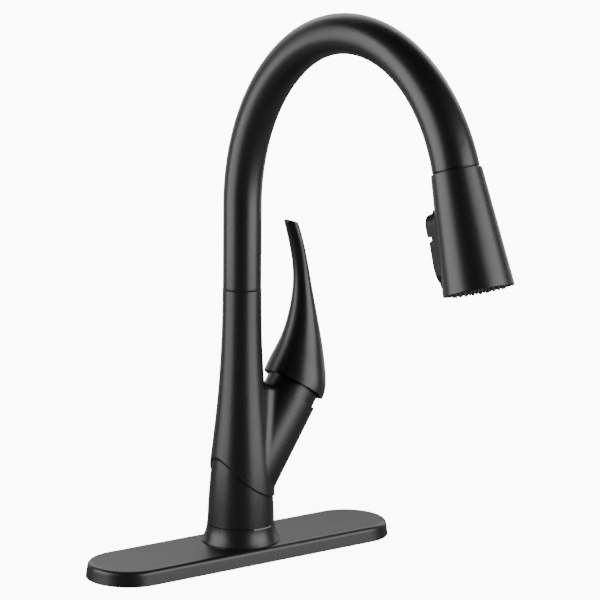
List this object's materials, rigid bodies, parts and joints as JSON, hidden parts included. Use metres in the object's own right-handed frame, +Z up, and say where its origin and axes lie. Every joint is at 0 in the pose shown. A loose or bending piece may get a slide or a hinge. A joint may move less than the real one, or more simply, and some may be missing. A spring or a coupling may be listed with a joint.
{
  "type": "pull-down kitchen faucet",
  "caption": "Single-lever kitchen faucet with a gooseneck spout, docked conical pull-down spray wand, side lever on a slanted arm and a long oval deck plate.",
  "frame": {"origin": "on the deck surface, under the axis of the column, at the middle of the deck plate's underside", "axes": "+Z up the column, spout and wand towards -Y (the user), valve arm and lever towards +X, deck plate's length along X"},
  "size_m": [0.263, 0.3224, 0.5649],
  "materials": {
    "matte_black": "matte black coating",
    "black_plastic": "satin moulded",
    "white_plastic": "moulded acetal",
    "rubber": "moulded",
    "brass": "machined",
    "copper": "drawn copper tube",
    "steel": "turned",
    "magnet_nickel": "nickel plated",
    "ceramic": "lapped ceramic",
    "hose_braid": "woven nylon",
    "light_lens": "frosted",
    "circuit_board": "solder mask",
    "aerator_grey": "moulded"
  },
  "bodies": {
    "faucet_base": {"base_o_ring": "rubber", "base_ring": "matte_black", "bonnet": "matte_black", "cartridge_housing": "white_plastic", "cartridge_nut": "brass", "clamp_screws": "steel", "clamp_washer": "steel", "cold_inlet_tube": "copper", "column_body": "matte_black", "deck_gasket": "rubber", "deck_plate": "matte_black", "fixed_disc": "ceramic", "glide_rings": "white_plastic", "hose_coupling": "brass", "hose_riser": "hose_braid", "hot_inlet_tube": "copper", "inlet_fittings": "brass", "mounting_nut": "black_plastic", "mounting_shank": "brass", "outlet_spigot": "brass", "outlet_tube": "copper", "port_seal": "rubber", "rubber_washer": "rubber", "snap_ring": "steel", "status_light_board": "circuit_board", "status_light_lens": "light_lens", "swivel_post": "brass", "swivel_washer": "black_plastic", "waterway_block": "brass"},
    "spout": {"spout_tube": "matte_black", "spout_hub": "brass", "dock_collar": "black_plastic", "dock_magnet": "magnet_nickel", "spray_hose": "hose_braid"},
    "hose_end": {"hose_ferrule": "steel", "hose_stem": "brass", "stem_o_ring": "rubber"},
    "wand": {"wand_shell": "matte_black", "wand_magnet": "magnet_nickel", "wand_core": "white_plastic", "swivel_clip": "white_plastic", "check_valve": "white_plastic", "filter_screen": "steel", "button_bezel": "black_plastic", "rocker_pin": "steel", "water_spreader": "black_plastic", "nozzle_mat": "rubber", "spray_plate": "black_plastic", "face_ring": "black_plastic", "aerator": "aerator_grey"},
    "rocker": {"mode_rocker": "black_plastic"},
    "plunger": {"diverter_plunger": "white_plastic"},
    "valve_turret": {"stem_carrier": "white_plastic", "stem_pin": "steel"},
    "lever": {"handle": "matte_black", "valve_stem": "steel", "handle_set_screw": "steel", "handle_plug": "black_plastic"},
    "valve_disc": {"moving_disc": "ceramic", "disc_driver": "white_plastic"}
  },
  "joints": [
    {"name": "spout_swivel", "type": "hinge", "parent": "faucet_base", "child": "spout", "pos_m": [0, 0, 0.2029], "axis": [0, 0, 1], "continuous": true},
    {"name": "wand_pull", "type": "slide", "parent": "spout", "child": "hose_end", "axis": [0, -0.3156, -0.9489], "range_m": [0, 0.23], "stiffness_N_per_m": 6, "springref_m": -1},
    {"name": "wand_turn", "type": "hinge", "parent": "hose_end", "child": "wand", "pos_m": [0, -0.2419, 0.32034], "axis": [0, -0.3156, -0.9489], "continuous": true},
    {"name": "mode_rocker_tilt", "type": "hinge", "parent": "wand", "child": "rocker", "pos_m": [-0.00744, -0.2398, 0.27611], "axis": [0.9063, 0.401, -0.1334], "range_deg": [0, 4.5]},
    {"name": "plunger_slide", "type": "slide", "parent": "wand", "child": "plunger", "axis": [0.4226, -0.86, 0.2861], "range_m": [0, 0.002]},
    {"name": "temperature_turn", "type": "hinge", "parent": "faucet_base", "child": "valve_turret", "pos_m": [0.04773, 0, 0.12342], "axis": [0.5461, 0, 0.8377], "range_deg": [-45, 45]},
    {"name": "flow_lift", "type": "hinge", "parent": "valve_turret", "child": "lever", "pos_m": [0.04773, 0, 0.12342], "axis": [0, 1, 0], "range_deg": [0, 20]},
    {"name": "disc_slide", "type": "slide", "parent": "valve_turret", "child": "valve_disc", "axis": [-0.8377, 0, 0.5461], "range_m": [0, 0.006]}
  ],
  "couplings": [
    {"joint": "plunger_slide", "follows": "mode_rocker_tilt", "m_per_rad": 0.0078},
    {"joint": "disc_slide", "follows": "flow_lift", "m_per_rad": 0.0135}
  ]
}
